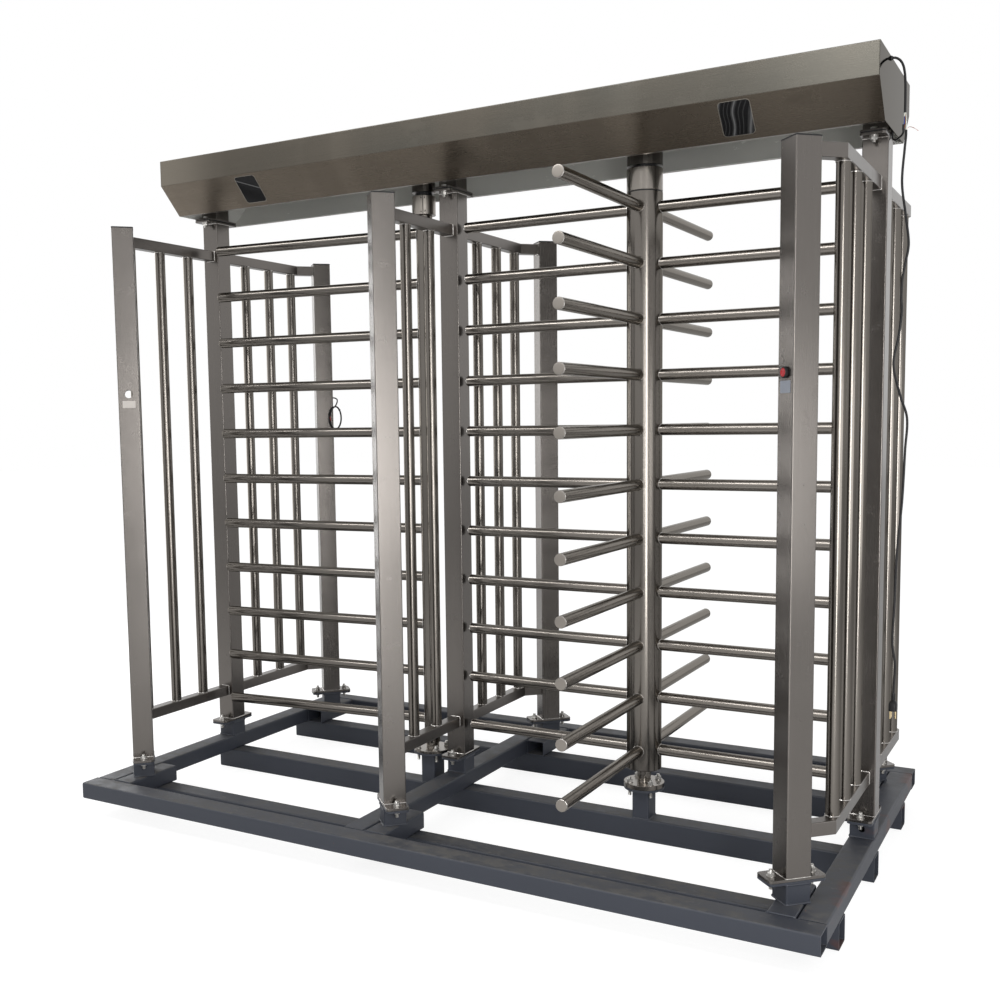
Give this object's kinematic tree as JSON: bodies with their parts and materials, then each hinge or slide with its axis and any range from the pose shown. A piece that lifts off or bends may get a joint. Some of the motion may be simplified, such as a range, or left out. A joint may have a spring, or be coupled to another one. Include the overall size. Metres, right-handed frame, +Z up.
{
  "type": "full height turnstile",
  "caption": "Full height turnstile rotor and swing gate side by side on one base frame, between barred guards, under a folded header.",
  "frame": {"origin": "on the floor, in the middle of the base frame", "axes": "+Z up; +X along the header towards the rotor lane; people walk along Y; the front, with the indicator windows and the button, faces -Y"},
  "size_m": [2.7868, 1.59, 2.508],
  "materials": {
    "base_paint": "matt slate paint, dusty, with small rust spots",
    "post_steel": "stainless, brushed lengthwise",
    "tube_steel": "stainless tube, satin to bright",
    "bearing_steel": "turned stainless",
    "gear_steel": "dark oiled steel",
    "pawl_zinc": "zinc plated steel",
    "frame_steel": "dark steel, welded",
    "casing_steel": "stainless sheet, brushed along the header",
    "window_gloss": "black, polished",
    "box_paint": "light grey paint",
    "bezel_black": "black, moulded",
    "button_red": "red, moulded",
    "cord_rubber": "black sheath"
  },
  "bodies": {
    "frame": {"skid_front": "base_paint", "skid_middle": "base_paint", "skid_rear": "base_paint", "cross_beam_left": "base_paint", "cross_beam_centre": "base_paint", "cross_beam_right": "base_paint", "sill_front": "base_paint", "sill_rear": "base_paint", "mid_post_left": "post_steel", "mid_post_centre": "post_steel", "mid_post_right": "post_steel", "end_post_front_left": "post_steel", "end_post_front_centre": "post_steel", "end_post_front_right": "post_steel", "end_post_rear_left": "post_steel", "end_post_rear_centre": "post_steel", "end_post_rear_right": "post_steel", "guard_panel_front_left": "tube_steel", "guard_panel_front_centre": "tube_steel", "guard_panel_front_right": "tube_steel", "guard_panel_rear_left": "tube_steel", "guard_panel_rear_centre": "tube_steel", "guard_panel_rear_right": "tube_steel", "rotor_foot_bearing": "bearing_steel", "gate_foot_bearing": "bearing_steel", "rotor_bearing_housing": "gear_steel", "gate_bearing_housing": "gear_steel", "header_frame": "frame_steel", "header_casing": "casing_steel", "indicator_window_left": "window_gloss", "indicator_window_right": "window_gloss", "control_box": "box_paint", "button_bezel": "bezel_black", "cable_gland": "bezel_black", "cord_upper": "cord_rubber", "cord_splice": "cord_rubber", "splice_lead": "cord_rubber", "cord_lower": "cord_rubber", "mains_plug": "cord_rubber", "spare_lead": "cord_rubber"},
    "rotor": {"rotor_column": "tube_steel", "rotor_arm_tier_01": "tube_steel", "rotor_arm_tier_02": "tube_steel", "rotor_arm_tier_03": "tube_steel", "rotor_arm_tier_04": "tube_steel", "rotor_arm_tier_05": "tube_steel", "rotor_arm_tier_06": "tube_steel", "rotor_arm_tier_07": "tube_steel", "rotor_arm_tier_08": "tube_steel", "rotor_arm_tier_09": "tube_steel", "rotor_arm_tier_10": "tube_steel", "rotor_arm_tier_11": "tube_steel", "rotor_clamp_collar": "tube_steel", "rotor_shaft": "gear_steel"},
    "gate": {"gate_leaf": "tube_steel", "gate_clamp_collar": "bearing_steel", "gate_shaft": "gear_steel"},
    "pawl_a": {"rotor_lock_pawl_a": "pawl_zinc"},
    "pawl_b": {"rotor_lock_pawl_b": "pawl_zinc"},
    "button": {"push_button": "button_red"}
  },
  "joints": [
    {"name": "rotor_spin", "type": "hinge", "parent": "frame", "child": "rotor", "pos_m": [0.57, 0, 0], "axis": [0, 0, 1], "continuous": true},
    {"name": "gate_swing", "type": "hinge", "parent": "frame", "child": "gate", "pos_m": [-0.296, 0, 0], "axis": [0, 0, 1], "range_deg": [-95, 85]},
    {"name": "pawl_a_swing", "type": "hinge", "parent": "frame", "child": "pawl_a", "pos_m": [0.58909, 0.14637, 0], "axis": [0, 0, 1], "range_deg": [-9, 0]},
    {"name": "pawl_b_swing", "type": "hinge", "parent": "frame", "child": "pawl_b", "pos_m": [0.58909, -0.14637, 0], "axis": [0, 0, 1], "range_deg": [0, 9]},
    {"name": "button_press", "type": "slide", "parent": "frame", "child": "button", "axis": [0.7071, 0.7071, 0], "range_m": [0, 0.004], "stiffness_N_per_m": 700}
  ]
}
